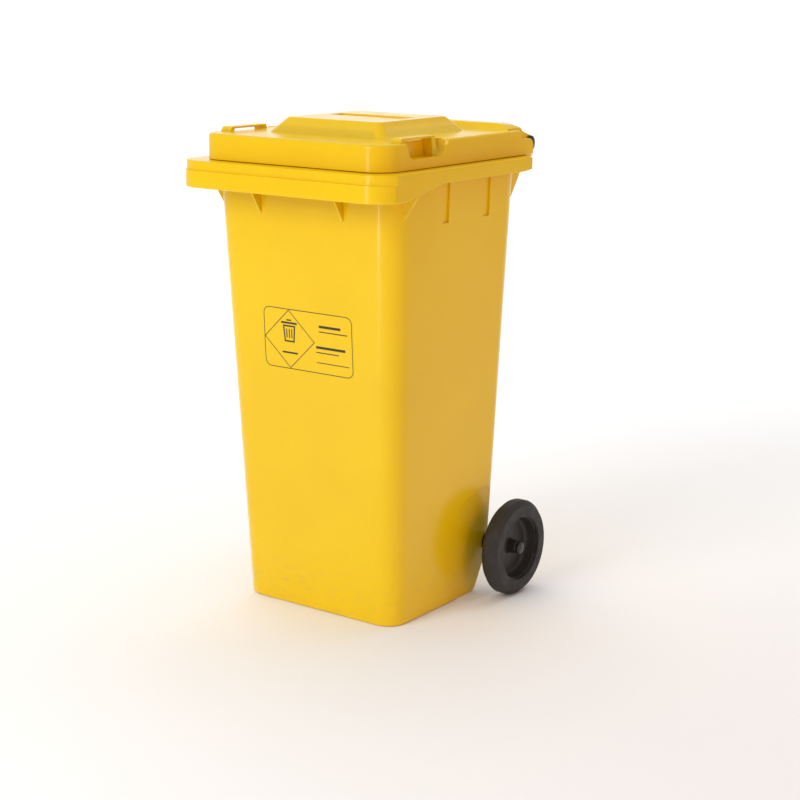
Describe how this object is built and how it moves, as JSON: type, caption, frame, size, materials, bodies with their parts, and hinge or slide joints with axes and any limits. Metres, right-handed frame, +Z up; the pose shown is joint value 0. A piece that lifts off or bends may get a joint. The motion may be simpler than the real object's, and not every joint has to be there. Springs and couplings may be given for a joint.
{
  "type": "wheeled waste bin",
  "caption": "Two-wheeled waste bin with a tapered tub, lifting rim, hinged lid with side strap grips, and rubber-tyred wheels on a steel axle.",
  "frame": {"origin": "on the floor under the middle of the bin", "axes": "+Z up, -Y to the front with the label, +Y to the wheels and hinge, +X to the bin's right as seen from the front"},
  "size_m": [0.543, 0.571, 0.966],
  "materials": {
    "bin_plastic": "semi-gloss moulded polyethylene, yellow",
    "lid_plastic": "semi-gloss moulded polyethylene, yellow",
    "black_plastic": "black moulded plastic",
    "wheel_plastic": "dark grey moulded plastic",
    "bush_plastic": "grey bearing plastic",
    "tyre_rubber": "solid rubber, dull",
    "axle_steel": "zinc-plated steel",
    "label_film": "printed film in the bin's colour"
  },
  "bodies": {
    "bin": {"tub": "bin_plastic", "axle": "axle_steel", "waste_label": "label_film", "hinge_pin_left": "black_plastic", "spacer_sleeve_left": "black_plastic", "axle_washer_left": "axle_steel", "axle_cap_left": "black_plastic", "hinge_pin_right": "black_plastic", "spacer_sleeve_right": "black_plastic", "axle_washer_right": "axle_steel", "axle_cap_right": "black_plastic"},
    "lid": {"lid": "lid_plastic"},
    "wheel_left": {"wheel_disc_left": "wheel_plastic", "tyre_left": "tyre_rubber", "inner_bush_left": "bush_plastic", "outer_bush_left": "bush_plastic"},
    "wheel_right": {"wheel_disc_right": "wheel_plastic", "tyre_right": "tyre_rubber", "inner_bush_right": "bush_plastic", "outer_bush_right": "bush_plastic"}
  },
  "joints": [
    {"name": "lid_hinge", "type": "hinge", "parent": "bin", "child": "lid", "pos_m": [0, 0.272, 0.907], "axis": [-1, 0, 0], "range_deg": [0, 250]},
    {"name": "wheel_left_spin", "type": "hinge", "parent": "bin", "child": "wheel_left", "pos_m": [-0.25, 0.1654, 0.0979], "axis": [1, 0, 0], "continuous": true},
    {"name": "wheel_right_spin", "type": "hinge", "parent": "bin", "child": "wheel_right", "pos_m": [0.25, 0.1654, 0.0979], "axis": [1, 0, 0], "continuous": true}
  ]
}
